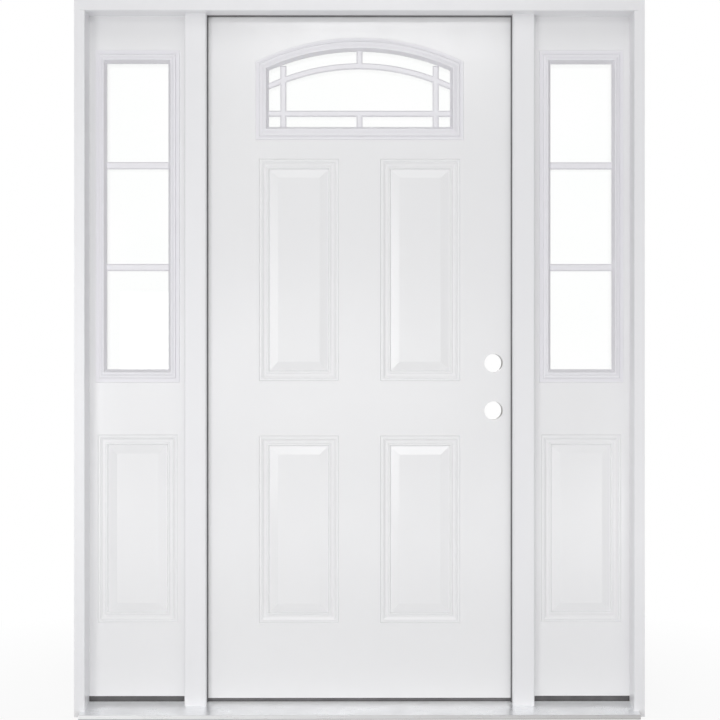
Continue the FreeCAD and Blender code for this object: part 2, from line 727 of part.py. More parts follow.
solid(grille, "grille_top_stub", "front", [stub], front, "glass_front")


def at_arched_frame(edge):
    """Whether a grille's edge lies on the arched frame's sight line."""
    point = edge.CenterOfMass
    reach = value("lite_radius - lite_rim")
    away = ((point.x ** 2 + (point.z - value("lite_centre")) ** 2) ** 0.5)
    side_end = abs(point.x) > value(sight) - 0.5
    return side_end or point.z < value("lite_low + lite_rim") + 0.5 or away > reach - 0.5


soften_bars(grille, "grille_bevel", at_arched_frame)


def is_upright(edge):
    """Whether an edge runs straight up, as the ends of a level bar do."""
    return abs(edge.Vertexes[0].X - edge.Vertexes[-1].X) < 1e-6


# sidelights: panel, lite frame halves, glass and grille
for side in ("left", "right"):
    panel = new_body(side + "_sidelight_panel")
    ends = span(side, "post_half", "board_half")
    outline = box(ends[0], ends[1], "base_top", "rabbet_top")
    solid(panel, side + "_sidelight_slab", "front", [outline], "panel_front", "jamb_depth")
    centre = signed(side, "side_centre")
    for face in ("outside", "inside"):
        emboss(panel, "%s_sidelight_%s" % (side, face), centre, "side_panel_half", "side_low", "side_high", face)
    opening = tall(side, "side_cover", "side_cover * end_rim / side_rim")
    hollow(panel, side + "_sidelight_opening", "front", [opening], "panel_front - 5", "jamb_depth + 5")

    def rails(inset, side=side):
        """The sidelight's frame outline, with its wider end rails."""
        return tall(side, inset, "(%s) * end_rim / side_rim" % inset)

    lite_frame(side + "_lite_outer_frame", "outside", rails, "side_rim", "side_cover")
    lite_frame(side + "_lite_inner_frame", "inside", rails, "side_rim", "side_cover")
    glass = new_body(side + "_glass")
    pane = tall(side, "side_rim - glass_bite", "end_rim - glass_bite")
    solid(glass, side + "_glass_unit", "front", [pane], "glass_front", "glass_back")
    grille = new_body(side + "_grille")
    left = "%s - (side_lite_half - side_rim)" % centre
    right = "%s + (side_lite_half - side_rim)" % centre
    sight_height = "(side_lite_high - side_lite_low - 2 * end_rim)"
    grille.AllowCompound = True
    for number in (1, 2):
        middle = "side_lite_low + end_rim + %s * %d / 3" % (sight_height, number)
        bar = box(left, right, middle + " - side_bar_width / 2", middle + " + side_bar_width / 2")
        ends = ("glass_front - bar_thick", "glass_front")
        solid(grille, "%s_grille_bar_%d" % (side, number), "front", [bar], *ends)
    soften_bars(grille, side + "_grille_bevel", is_upright)

# hinges: three, each a leaf let into the mullion, a leaf let into the door and a pin
for name, level in HINGES:
    foot = "%s - leaf_height / 2" % level
    crown = "%s + leaf_height / 2" % level
    steps = ["%s + leaf_height * %d / 5" % (foot, number) for number in range(6)]
    leaf_in = "jamb_depth - leaf_reach"
    frame_bed = box("-open_half - leaf_thick", "-open_half + 5", leaf_in, "jamb_depth + 5")
    hollow(nodes["left_mullion"], name + "_frame_mortise", "plan", [frame_bed], foot, crown)
    for owner, own, other in (("frame", (0, 2, 4), (1, 3)), ("door", (1, 3), (0, 2, 4))):
        leaf = new_body("%s_hinge_%s_leaf" % (name, owner))
        if owner == "frame":
            plate = box("-open_half - leaf_thick", "-open_half", leaf_in, "pin_along")
            bore = "pin_radius"
        else:
            plate = box("-slab_half", "-slab_half + leaf_thick", leaf_in, "pin_along")
            bore = "pin_radius + pin_play"
        label = "%s_%s" % (name, owner)
        solid(leaf, label + "_plate", "plan", [plate], foot, crown)
        for number in other:
            low = "%s - knuckle_gap / 2" % steps[number]
            high = "%s + knuckle_gap / 2" % steps[number + 1]
            round_hole(leaf, "%s_relief_%d" % (label, number), "plan", "pin_across", "pin_along",
                       "barrel_radius + knuckle_gap", low, high)
        for number in own:
            low = steps[number]
            high = steps[number + 1]
            if number > 0:
                low += " + knuckle_gap / 2"
            if number < 4:
                high += " - knuckle_gap / 2"
            round_bar(leaf, "%s_knuckle_%d" % (label, number), "plan", "pin_across", "pin_along",
                      "barrel_radius", low, high)
        round_hole(leaf, label + "_pin_hole", "plan", "pin_across", "pin_along", bore,
                   foot + " - 1", crown + " + 1")
    pin = new_body("%s_hinge_pin" % name)
    round_bar(pin, name + "_pin_shaft", "plan", "pin_across", "pin_along", "pin_radius", foot + " - 2", crown)
    round_bar(pin, name + "_pin_head", "plan", "pin_across", "pin_along", "barrel_radius - 0.75",
              crown, crown + " + 3")

document.recompute()
for item in document.Objects:
    if "Invalid" in item.State or "Error" in item.State:
        raise RuntimeError("%s is not built: %s" % (item.Name, item.State))
for name, body in nodes.items():
    shape = body.Shape
    wanted = 2 if name in ("left_grille", "right_grille") else 1
    if shape.isNull() or not shape.isValid() or len(shape.Solids) != wanted:
        raise RuntimeError("%s has %d solids or isn't valid" % (name, len(shape.Solids)))
os.makedirs("parts", exist_ok=True)
for name, body in nodes.items():
    body.Shape.exportStep("parts/%s.step" % name)
print("%d sub-parts written" % len(nodes))
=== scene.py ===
"""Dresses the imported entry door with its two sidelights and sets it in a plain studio.

Everything is in metres in the frame of the CAD: X runs to the right as seen from outside, Y into the
house, Z up, and Z = 0 is the underside of the sill.
"""

import logging
import math
from dataclasses import dataclass
from enum import Enum
from typing import Any, Sequence

import bmesh
import bpy
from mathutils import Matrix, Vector


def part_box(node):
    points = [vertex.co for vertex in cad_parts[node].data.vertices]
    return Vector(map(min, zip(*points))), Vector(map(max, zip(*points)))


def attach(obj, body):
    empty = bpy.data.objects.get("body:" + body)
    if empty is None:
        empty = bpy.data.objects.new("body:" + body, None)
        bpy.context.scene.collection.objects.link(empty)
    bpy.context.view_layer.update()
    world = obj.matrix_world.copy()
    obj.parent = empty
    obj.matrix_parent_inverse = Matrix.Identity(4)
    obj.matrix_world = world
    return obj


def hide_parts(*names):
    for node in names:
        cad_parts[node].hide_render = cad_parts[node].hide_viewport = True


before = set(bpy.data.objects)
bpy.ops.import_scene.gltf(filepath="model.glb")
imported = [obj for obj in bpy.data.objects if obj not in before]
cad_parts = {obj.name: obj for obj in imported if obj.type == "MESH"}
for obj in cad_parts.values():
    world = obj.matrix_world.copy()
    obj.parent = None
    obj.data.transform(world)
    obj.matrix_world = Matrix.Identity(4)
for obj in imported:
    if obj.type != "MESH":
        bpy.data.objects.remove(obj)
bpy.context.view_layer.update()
LOG = logging.getLogger("entry_door")

Colour = tuple[float, float, float, float]
Flat = tuple[float, float]
Place = tuple[float, float, float]
Spot = tuple[Place, Place]
MM = 0.001
WHITE: Colour = (1.0, 1.0, 1.0, 1.0)


class Body(Enum):
    """The two bodies that pieces ride on."""

    FRAME = "frame"
    DOOR = "door"


class Slot(Enum):
    """The record's material slots."""

    PAINTED_FRAME = "painted_frame"
    STEEL_SKIN = "painted_steel_skin"
    LITE_FRAME = "moulded_lite_frame"
    GRILLE = "grille_bars"
    GLASS = "clear_glass"
    ALUMINIUM = "mill_aluminium"
    SUBSTRATE = "sill_substrate"
    SILL_CAP = "dark_sill_cap"
    SEAL = "dark_seal"
    FOAM = "foam_core"
    STILE = "stile_wood"
    HINGE = "hinge_steel"


class Run(Enum):
    """The way a board's grain or a bar's draw lines run."""

    ACROSS = (0.02, 1.0, 1.0)
    UPRIGHT = (1.0, 1.0, 0.02)


def srgb(red: int, green: int, blue: int) -> Colour:
    """Turns a colour of 0 to 255 a channel into the linear colour that shaders take."""
    def linear(value: float) -> float:
        """One channel, made linear."""
        value = value / 255
        return value / 12.92 if value <= 0.04045 else ((value + 0.055) / 1.055) ** 2.4
    return (linear(red), linear(green), linear(blue), 1.0)


def dimmed(colour: Colour, *factors: float) -> Colour:
    """Multiplies a colour by one factor, or by one for each channel."""
    red, green, blue = factors if len(factors) == 3 else factors * 3
    return (colour[0] * red, colour[1] * green, colour[2] * blue, 1.0)


class Sock:
    """A shader socket that takes part in sums written in Python."""

    def __init__(self, sheet: "NodeSheet", socket: bpy.types.NodeSocket) -> None:
        """Keeps the socket and the sheet that new Math nodes go on."""
        self.sheet = sheet
        self.socket = socket

    def maths(self, operation: str, *values: Any) -> "Sock":
        """Adds one Math node that works on the values in their order."""
        return self.sheet.node("ShaderNodeMath", {"operation": operation}, dict(enumerate(values)))

    def __add__(self, other: Any) -> "Sock":
        """This plus other."""
        return self.maths("ADD", self, other)

    def __radd__(self, other: Any) -> "Sock":
        """Other plus this."""
        return self.maths("ADD", other, self)

    def __sub__(self, other: Any) -> "Sock":
        """This less other."""
        return self.maths("SUBTRACT", self, other)

    def __rsub__(self, other: Any) -> "Sock":
        """Other less this."""
        return self.maths("SUBTRACT", other, self)

    def __mul__(self, other: Any) -> "Sock":
        """This times other."""
        return self.maths("MULTIPLY", self, other)

    def __rmul__(self, other: Any) -> "Sock":
        """Other times this."""
        return self.maths("MULTIPLY", other, self)

    def or_more(self, other: Any) -> "Sock":
        """The larger of this and other."""
        return self.maths("MAXIMUM", self, other)


class NodeSheet:
    """One node tree, whose nodes all come from the method node."""

    def __init__(self, tree: bpy.types.NodeTree) -> None:
        """Clears the tree and keeps it."""
        self.tree = tree
        self.tree.nodes.clear()

    @staticmethod
    def find(sockets: Any, key: int | str) -> bpy.types.NodeSocket:
        """Finds a socket by its place, its identifier or its name."""
        if isinstance(key, int):
            return sockets[key]
        for socket in sockets:
            if socket.identifier == key:
                return socket
        return sockets[key]

    def node(
        self,
        kind: str,
        settings: dict[str, Any] | None = None,
        inputs: dict[int | str, Any] | None = None,
        output: int | str = 0,
    ) -> Sock:
        """Adds a node.

        Args:
            kind: The node's type.
            settings: Its own settings, set first.
            inputs: Values or links of its sockets.
            output: The output that is returned.

        Returns:
            The chosen output, ready for sums.
        """
        made = self.tree.nodes.new(kind)
        for key, value in (settings or {}).items():
            setattr(made, key, value)
        for key, value in (inputs or {}).items():
            socket = self.find(made.inputs, key)
            if isinstance(value, Sock):
                self.tree.links.new(value.socket, socket)
            else:
                socket.default_value = value
        if not made.outputs:
            return Sock(self, None)
        return Sock(self, self.find(made.outputs, output))


class MaterialSheet(NodeSheet):
    """The node tree of one material."""

    def __init__(self, name: str) -> None:
        """Makes the material and empties its tree."""
        self.material = bpy.data.materials.new(name)
        self.material.use_nodes = True
        super().__init__(self.material.node_tree)
        self.place = self.node("ShaderNodeTexCoord", output="Object")

    def along(self, axis: str) -> Sock:
        """The object coordinate along X, Y or Z."""
        return self.node("ShaderNodeSeparateXYZ", {}, {0: self.place}, axis)

    def noise(self, scale: float, detail: float, run: Run | None = None) -> Sock:
        """Soft noise of 0 to 1 with scale features a metre, drawn out along a run if one is given."""
        at = self.place
        if run is not None:
            at = self.node("ShaderNodeMapping", {}, {"Vector": self.place, "Scale": run.value})
        return self.node("ShaderNodeTexNoise", {}, {"Vector": at, "Scale": scale, "Detail": detail})

    def spread(self, value: Sock, low: float, high: float, to_low: float = 0.0, to_high: float = 1.0) -> Sock:
        """Maps a range of value to another range and holds it there."""
        sockets = {"Value": value, 1: low, 2: high, 3: to_low, 4: to_high}
        return self.node("ShaderNodeMapRange", {"clamp": True}, sockets)

    def blend(self, factor: Any, first: Any, second: Any) -> Sock:
        """Mixes two colours."""
        sockets = {"Factor_Float": factor, "A_Color": first, "B_Color": second}
        return self.node("ShaderNodeMix", {"data_type": "RGBA"}, sockets, "Result_Color")

    def bump(self, height: Sock, depth: float) -> Sock:
        """A normal from a height of 0 to 1, which stands for depth in metres."""
        return self.node("ShaderNodeBump", {}, {"Height": height, "Distance": depth, "Strength": 1.0})

    def finish(self, inputs: dict[int | str, Any]) -> bpy.types.Material:
        """Ends the tree in a Principled shader with these inputs."""
        shader = self.node("ShaderNodeBsdfPrincipled", {}, inputs)
        self.node("ShaderNodeOutputMaterial", {}, {"Surface": shader})
        return self.material


@dataclass(frozen=True)
class Finish:
    """What every finish has.

    Args:
        name: The material's name.
        colour: Its colour where it is clean.
    """

    name: str
    colour: Colour


@dataclass(frozen=True)
class Paint(Finish):
    """Factory paint over steel, wood or moulded plastic.

    Args:
        roughness: Its mean roughness.
        peel: Width of one dimple of its skin, in metres.
        peel_depth: Depth of a dimple, in metres.
        grain: The way wood grain shows through it, if it does.
        drifted: What its colour is multiplied by where it has drifted most.
    """

    roughness: float
    peel: float = 1.4 * MM
    peel_depth: float = 0.012 * MM
    grain: Run | None = None
    drifted: Place = (0.972, 0.972, 0.978)

    def material(self) -> bpy.types.Material:
        """Builds the paint."""
        sheet = MaterialSheet(self.name)
        drift = sheet.noise(1.7, 3.0)
        handled = sheet.noise(9.0, 4.0)
        height = sheet.noise(1 / self.peel, 2.0)
        if self.grain is not None:
            height = height * 0.4 + sheet.noise(520.0, 3.0, self.grain) * 0.6
        mask = sheet.spread(drift * 0.75 + handled * 0.25, 0.2, 0.8)
        return sheet.finish({
            "Base Color": sheet.blend(mask, self.colour, dimmed(self.colour, *self.drifted)),
            "Roughness": sheet.spread(handled, 0.2, 0.8, self.roughness - 0.02, self.roughness + 0.03),
            "Normal": sheet.bump(height, self.peel_depth),
            "IOR": 1.5,
        })


@dataclass(frozen=True)
class DrawnMetal(Finish):
    """Metal with fine lines along the way it was drawn or brushed.

    Args:
        roughness: Its mean roughness.
        run: The way the lines run.
        line_depth: Their depth, in metres.
        darkened_front: The Y in front of which its face is darkened, if it is.
        dusty_back: The Y at which the dust along its back edge ends, if there is any.
        front_dark_colour: The colour that the front darkens to, towards the right and in the painted shadow
            at its foot.
    """

    roughness: float
    run: Run
    line_depth: float = 0.01 * MM
    darkened_front: float | None = None
    dusty_back: float | None = None
    # Colour of the front's darkening towards the right, and of the painted shadow at its foot.
    front_dark_colour: Colour = srgb(128, 124, 122)

    def back_dust(self, sheet: MaterialSheet) -> Sock:
        """How thick the dust lies along the back edge."""
        reach, past, waver = 34 * MM, 2 * MM, 14 * MM
        blown = sheet.along("Y") + sheet.noise(24.0, 4.0) * waver
        return sheet.spread(blown, self.dusty_back - reach, self.dusty_back + past)

    def front_darkening_and_shadow(self, sheet: MaterialSheet) -> Sock:
        """How far the front is darkened: more towards the right, and most at its foot, where a shadow is
        painted.
        """
        soft, pale, darkest_right, foot_shade = 1 * MM, 0.24, 0.66, 0.86
        ahead = sheet.spread(sheet.along("Y"), self.darkened_front, self.darkened_front + soft, 1.0, 0.0)
        # Darker towards the right.
        darker_right = sheet.spread(sheet.along("X") + sheet.noise(6.0, 3.0) * 0.5, -0.5, 1.1, pale, darkest_right)
        # Painted shadow: the front's lowest few millimetres darkened as if in shade where the nose meets the
        # floor.
        foot = sheet.spread(sheet.along("Z"), 1.6 * MM, 3.4 * MM, foot_shade, 0.0)
        return ahead * darker_right.or_more(foot)

    def material(self) -> bpy.types.Material:
        """Builds the metal."""
        sheet = MaterialSheet(self.name)
        lines = sheet.noise(700.0, 3.0, self.run)
        film = sheet.noise(14.0, 4.0)
        worn = lines * 0.5 + film * 0.5
        rough = sheet.spread(worn, 0.32, 0.68, self.roughness - 0.06, self.roughness + 0.08)
        mask = sheet.spread(film * 0.6 + lines * 0.4, 0.4, 0.68)
        tone = sheet.blend(mask, self.colour, dimmed(self.colour, 0.9))
        # Darkens the front face towards the right and paints a shadow along its foot.
        if self.darkened_front is not None:
            tone = sheet.blend(self.front_darkening_and_shadow(sheet), tone, self.front_dark_colour)
        bare: float | Sock = 1.0
        if self.dusty_back is not None:
            dust = self.back_dust(sheet)
            bare = 1 - dust * 0.7
            rough = rough + dust * 0.2
        return sheet.finish({
            "Base Color": tone,
            "Metallic": bare,
            "Roughness": rough,
            "Normal": sheet.bump(lines, self.line_depth),
        })


@dataclass(frozen=True)
class Rubbery(Finish):
    """Dull dark vinyl, foam skin or composite.

    Args:
        roughness: Its mean roughness.
        grain: Width of one pore, in metres.
    """

    roughness: float
    grain: float = 0.9 * MM

    def material(self) -> bpy.types.Material:
        """Builds the rubber or vinyl."""
        sheet = MaterialSheet(self.name)
        pores = sheet.noise(1 / self.grain, 4.0)
        dust = sheet.noise(22.0, 5.0)
        pale = tuple(min(1.0, c * 1.25 + 0.015) for c in self.colour[:3]) + (1.0,)
        return sheet.finish({
            "Base Color": sheet.blend(sheet.spread(dust, 0.4, 0.72), self.colour, pale),
            "Roughness": sheet.spread(dust, 0.3, 0.7, self.roughness - 0.08, self.roughness + 0.1),
            "Normal": sheet.bump(pores, 0.06 * MM),
        })


@dataclass(frozen=True)
class Pine(Finish):
    """Planed softwood with growth rings along one axis.

    Args:
        late: The colour of the narrow late rings; colour is that of the early ones.
        run: The way the grain runs.
    """

    late: Colour
    run: Run

    def material(self) -> bpy.types.Material:
        """Builds the wood."""
        sheet = MaterialSheet(self.name)
        warp = sheet.noise(30.0, 3.0, self.run)
        rings = sheet.noise(160.0, 2.0, self.run)
        fibres = sheet.noise(1400.0, 3.0, self.run)
        mask = sheet.spread(rings * 0.7 + warp * 0.3, 0.42, 0.62)
        return sheet.finish({
            "Base Color": sheet.blend(mask, self.colour, self.late),
            "Roughness": sheet.spread(fibres, 0.3, 0.7, 0.5, 0.68),
            "Normal": sheet.bump(fibres * 0.5 + mask * 0.5, 0.05 * MM),
        })


@dataclass(frozen=True)
class Foam(Finish):
    """Poured foam, cut through its cells."""

    def material(self) -> bpy.types.Material:
        """Builds the foam."""
        sheet = MaterialSheet(self.name)
        cells = sheet.node("ShaderNodeTexVoronoi", {}, {"Vector": sheet.place, "Scale": 900.0}, "Distance")
        cloud = sheet.noise(40.0, 3.0)
        mask = sheet.spread(cells * 0.6 + cloud * 0.4, 0.2, 0.7)
        return sheet.finish({
            "Base Color": sheet.blend(mask, self.colour, dimmed(self.colour, 0.72)),
            "Roughness": sheet.spread(cloud, 0.3, 0.7, 0.75, 0.92),
            "Normal": sheet.bump(cells, 0.35 * MM),
        })


@dataclass(frozen=True)
class PaneGlass(Finish):
    """Float glass with the faintest haze."""

    def material(self) -> bpy.types.Material:
        """Builds the glass."""
        sheet = MaterialSheet(self.name)
        haze = sheet.noise(5.0, 4.0)
        return sheet.finish({
            "Base Color": sheet.blend(sheet.spread(haze, 0.4, 0.7), self.colour, WHITE),
            "Roughness": sheet.spread(haze, 0.35, 0.75, 0.0, 0.004),
            "Transmission Weight": 1.0,
            "IOR": 1.45,
        })


class Finishes:
    """Every finish of the unit, each built once and kept by its name."""

    def __init__(self) -> None:
        """Builds the finishes."""
        primed = (srgb(236, 236, 238), 0.3, 1.8 * MM, 0.012 * MM)
        moulded = srgb(233, 232, 236)
        pine = (srgb(222, 192, 148), srgb(196, 156, 108))
        deck = DrawnMetal("mill_aluminium_deck", srgb(246, 247, 248), 0.29, Run.ACROSS,
                          darkened_front=-28.5 * MM, dusty_back=71.5 * MM)
        made = [
            Paint("factory_white_steel", srgb(237, 237, 238), 0.2),
            Paint("primed_board_upright", *primed, Run.UPRIGHT),
            Paint("primed_board_across", *primed, Run.ACROSS),
            Paint("moulded_white_frame", moulded, 0.3, 0.7 * MM, 0.01 * MM),
            Paint("moulded_white_bar", srgb(235, 234, 238), 0.3, 0.7 * MM, 0.008 * MM),
            deck,
            DrawnMetal("satin_hinge_steel", srgb(196, 195, 192), 0.3, Run.UPRIGHT),
            DrawnMetal("screw_steel", srgb(206, 205, 203), 0.34, Run.UPRIGHT),
            DrawnMetal("spacer_metal", srgb(186, 187, 190), 0.42, Run.ACROSS),
            Rubbery("composite_sill_cap", srgb(78, 77, 78), 0.55, 1.2 * MM),
            Rubbery("foam_filled_seal", srgb(98, 97, 99), 0.7),
            Rubbery("pressed_fibre_core", srgb(134, 124, 112), 0.85, 2.5 * MM),
            Pine("planed_pine_upright", *pine, Run.UPRIGHT),
            Pine("planed_pine_across", *pine, Run.ACROSS),
            Paint("sealed_lock_block", srgb(206, 205, 204), 0.6, 1.2 * MM, 0.05 * MM, Run.UPRIGHT),
            Foam("poured_foam", srgb(226, 206, 158)),
            PaneGlass("clear_float_glass", (0.994, 0.999, 0.996, 1.0)),
        ]
        self.by_name = {finish.name: finish.material() for finish in made}

    def __getitem__(self, name: str) -> bpy.types.Material:
        """The material of that name."""
        return self.by_name[name]


def stand(name: str, data: bpy.types.ID) -> bpy.types.Object:
    """Adds an object with this data to the scene."""
    thing = bpy.data.objects.new(name, data)
    bpy.context.scene.collection.objects.link(thing)
    return thing


def mesh_piece(
    name: str, build: bmesh.types.BMesh, material: bpy.types.Material | None = None, smooth: bool = False
) -> bpy.types.Object:
    """Turns a bmesh into an object at the origin.

    Args:
        name: The piece's name.
        build: The bmesh, which is freed.
        material: Its only material, if it has one.
        smooth: Whether its faces are shaded smooth.

    Returns:
        The new object.
    """
    bmesh.ops.remove_doubles(build, verts=build.verts, dist=1e-7)
    bmesh.ops.recalc_face_normals(build, faces=build.faces)
    for face in build.faces:
        face.smooth = smooth
    mesh = bpy.data.meshes.new(name)
    build.to_mesh(mesh)
    build.free()
    if material is not None:
        mesh.materials.append(material)
    return stand(name, mesh)


def settle(piece: bpy.types.Object, body: Body, slot: Slot, *replaced: str) -> None:
    """Hangs a piece on its body and hides the CAD nodes that it stands for."""
    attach(piece, body.value)
    if replaced:
        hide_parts(*replaced)
    LOG.info("%s rides on %s, %d faces", piece.name, body.value, len(piece.data.polygons))


def neighbours(row: Sequence[Any]) -> list[tuple[Any, Any]]:
    """Each entry of a closed row with the one after it."""
    return list(zip(row, [*row[1:], row[0]]))


def band(build: bmesh.types.BMesh, low: Sequence[Any], high: Sequence[Any]) -> None:
    """Joins two closed rows of vertices with faces."""
    for (a, b), (d, c) in zip(neighbours(low), neighbours(high)):
        build.faces.new((a, b, c, d))


def prism(build: bmesh.types.BMesh, outline: Sequence[Flat], low: float, high: float, axis: int = 1) -> None:
    """Adds a closed prism to a bmesh.

    Args:
        build: The bmesh.
        outline: Corners in the plane across the axis, in order.
        low: Where the prism starts along the axis.
        high: Where it ends.
        axis: 0, 1 or 2 for X, Y or Z.
    """
    rows = []
    for at in (low, high):
        corners = [(*point[:axis], at, *point[axis:]) for point in outline]
        rows.append([build.verts.new(corner) for corner in corners])
    build.faces.new(rows[0])
    build.faces.new(rows[1][::-1])
    band(build, *rows)


def ring(
    build: bmesh.types.BMesh, outer: Sequence[Flat], inner: Sequence[Flat], low: float, high: float
) -> None:
    """Adds a frame of even thickness between two outlines in the XZ plane, from low to high along Y."""
    rows = [[build.verts.new((x, y, z)) for x, z in line] for line in (outer, inner) for y in (low, high)]
    for a, b in ((0, 1), (1, 3), (3, 2), (2, 0)):
        band(build, rows[a], rows[b])


@dataclass(frozen=True)
class LiteShape:
    """The outline of a lite's frame, seen from outside.

    Args:
        centre: Its middle in X.
        half: Half its width.
        low: Its lowest point.
        high: Its highest point.
        radius: The radius of its arched top, or None for a square one.
        steps: How many straight pieces the arch is drawn in.
    """

    centre: float
    half: float
    low: float
    high: float
    radius: float | None
    steps: int = 48

    def outline(self, inset: float, end_inset: float | None = None) -> list[Flat]:
        """Corners of the outline drawn inwards by inset, and by end_inset at top and bottom."""
        end = inset if end_inset is None else end_inset
        half = self.half - inset
        low = self.low + end
        corners = [(self.centre - half, low), (self.centre + half, low)]
        if self.radius is None:
            return corners + [(self.centre + half, self.high - end), (self.centre - half, self.high - end)]
        return corners + self.arc(inset, half)

    def arc(self, inset: float, half: float) -> list[Flat]:
        """Points along the arch from right to left, drawn inwards by inset, within half of the middle."""
        radius = self.radius - inset
        middle = self.high - self.radius
        wide = math.asin(half / radius)
        angles = [wide - 2 * wide * k / self.steps for k in range(self.steps + 1)]
        return [(self.centre + radius * math.sin(a), middle + radius * math.cos(a)) for a in angles]


class GrowthSheet(NodeSheet):
    """A Geometry Nodes tree that the geometry of a carrier goes through."""

    def __init__(self, name: str, inputs: dict[str, str]) -> None:
        """Starts the tree.

        Args:
            name: The tree's name.
            inputs: The kind of each named input between the geometry and the finish.
        """
        super().__init__(bpy.data.node_groups.new(name, "GeometryNodeTree"))
        sockets = self.tree.interface
        for way in ("INPUT", "OUTPUT"):
            sockets.new_socket("Geometry", in_out=way, socket_type="NodeSocketGeometry")
        self.known = {
            label: sockets.new_socket(label, in_out="INPUT", socket_type="NodeSocket" + kind).identifier
            for label, kind in {**inputs, "Finish": "Material"}.items()
        }
        self.entry = self.node("NodeGroupInput", output="Geometry")

    def given(self, label: str) -> Sock:
        """The input of that name."""
        return Sock(self, self.find(self.entry.socket.node.outputs, label))

    def close(self, geometry: Sock) -> None:
        """Ends the tree in Realize Instances and Set Material."""
        real = self.node("GeometryNodeRealizeInstances", {}, {"Geometry": geometry})
        sockets = {"Geometry": real, "Material": self.given("Finish")}
        dressed = self.node("GeometryNodeSetMaterial", {}, sockets)
        self.node("NodeGroupOutput", {}, {"Geometry": dressed})

    def grow(self, name: str, carrier: bpy.types.Object, values: dict[str, Any]) -> bpy.types.Object:
        """Runs the tree on a carrier and keeps the result as a plain mesh.

        Args:
            name: The new piece's name.
            carrier: The object whose geometry goes in, which is removed.
            values: Each input's value by its name.

        Returns:
            The new piece.
        """
        modifier = carrier.modifiers.new("grow", "NODES")
        modifier.node_group = self.tree
        for label, value in values.items():
            modifier[self.known[label]] = value
        graph = bpy.context.evaluated_depsgraph_get()
        mesh = bpy.data.meshes.new_from_object(carrier.evaluated_get(graph), depsgraph=graph)
        mesh.name = name
        piece = stand(name, mesh)
        bpy.data.objects.remove(carrier)
        return piece


class RowOfHeads:
    """Instances a small head, such as a screw or a plug, on points that face different ways."""

    def __init__(self) -> None:
        """Builds the tree once for all rows."""
        self.sheet = sheet = GrowthSheet("row_of_heads", {"Head": "Object", "Width": "Float", "Seed": "Int"})
        head = sheet.node("GeometryNodeObjectInfo", {}, {"Object": sheet.given("Head")}, "Geometry")
        settings = {"data_type": "FLOAT_VECTOR"}
        facing = sheet.node("GeometryNodeInputNamedAttribute", settings, {"Name": "facing"}, "Attribute")
        upright = sheet.node("FunctionNodeAlignRotationToVector", {"axis": "Z"}, {"Vector": facing})
        sockets = {"Max_001": 2 * math.pi, "Seed": sheet.given("Seed")}
        turn = sheet.node("FunctionNodeRandomValue", {"data_type": "FLOAT"}, sockets, "Value_001")
        spin = sheet.node("FunctionNodeAxisAngleToRotation", {}, {"Axis": (0.0, 0.0, 1.0), "Angle": turn})
        sockets = {"Rotation": upright, "Rotate By": spin}
        aimed = sheet.node("FunctionNodeRotateRotation", {"rotation_space": "LOCAL"}, sockets)
        sockets = {"Points": sheet.entry, "Instance": head, "Rotation": aimed, "Scale": sheet.given("Width")}
        sheet.close(sheet.node("GeometryNodeInstanceOnPoints", {}, sockets))

    def run(
        self, name: str, spots: Sequence[Spot], head: bpy.types.Object, width: float,
        finish: bpy.types.Material, seed: int,
    ) -> bpy.types.Object:
        """Sets a head on each spot.

        Args:
            name: The new piece's name.
            spots: Each head's place and the way it faces.
            head: The head, one unit wide, facing up.
            width: A head's width, in metres.
            finish: Its material.
            seed: Fixes how the heads are turned.

        Returns:
            The new piece.
        """
        mesh = bpy.data.meshes.new(name + "_spots")
        mesh.from_pydata([spot for spot, _ in spots], [], [])
        facing = mesh.attributes.new("facing", "FLOAT_VECTOR", "POINT")
        facing.data.foreach_set("vector", [value for _, way in spots for value in way])
        values = {"Head": head, "Width": width, "Seed": seed, "Finish": finish}
        return self.sheet.grow(name, stand(name + "_spots", mesh), values)


@dataclass(frozen=True)
class HeadShape:
    """A round head, one unit wide, turned from a profile, with or without a cross recess.

    Args:
        name: The name of the object that lends the shape.
        profile: Radius and height, from the foot to the tip.
        cross: How deep the cross recess is, or 0 for none.
        cross_reach: Half its length.
        cross_half: Half the width of its arms.
        around: How many faces go round the head.
    """

    name: str
    profile: tuple[Flat, ...]
    cross: float = 0.0
    cross_reach: float = 0.3
    cross_half: float = 0.055
    around: int = 24

    def build(self) -> bpy.types.Object:
        """Makes the head as an object that only lends its shape."""
        build = bmesh.new()
        turns = [2 * math.pi * k / self.around for k in range(self.around)]
        rows = []
        for radius, height in self.profile:
            spots = [(radius * math.cos(turn), radius * math.sin(turn)) for turn in turns]
            rows.append([build.verts.new((x, y, height - self.sunk(x, y))) for x, y in spots])
        for low, high in zip(rows, rows[1:]):
            band(build, low, high)
        tip = build.verts.new((0, 0, self.profile[-1][1] - self.cross))
        foot = build.verts.new((0, 0, self.profile[0][1]))
        for row, end in ((rows[-1], tip), (rows[0], foot)):
            for a, b in neighbours(row):
                build.faces.new((a, b, end))
        return mesh_piece(self.name, build, smooth=True)

    def sunk(self, x: float, y: float) -> float:
        """How far the cross recess drops the head at a point."""
        if not self.cross or max(abs(x), abs(y)) > self.cross_reach:
            return 0.0
        return self.cross if min(abs(x), abs(y)) < self.cross_half else 0.0


SCREW_HEAD = HeadShape(
    "screw_head",
    (
        (0.5, -0.12), (0.5, 0.012), (0.48, 0.026), (0.42, 0.036), (0.34, 0.043), (0.29, 0.046),
        (0.24, 0.048), (0.18, 0.05), (0.12, 0.051), (0.06, 0.052),
    ),
    cross=0.05,
)
PLUG_HEAD = HeadShape(
    "plug_head",
    ((0.5, -0.1), (0.5, 0.03), (0.46, 0.07), (0.38, 0.095), (0.26, 0.11), (0.12, 0.116)),
    around=20,
)


@dataclass
class LitePart:
    """What every part of a lite has.

    Args:
        label: The lite's name.
        body: The body that the part rides on.
        shape: The outline of the lite's frame.
    """

    label: str
    body: Body
    shape: LiteShape


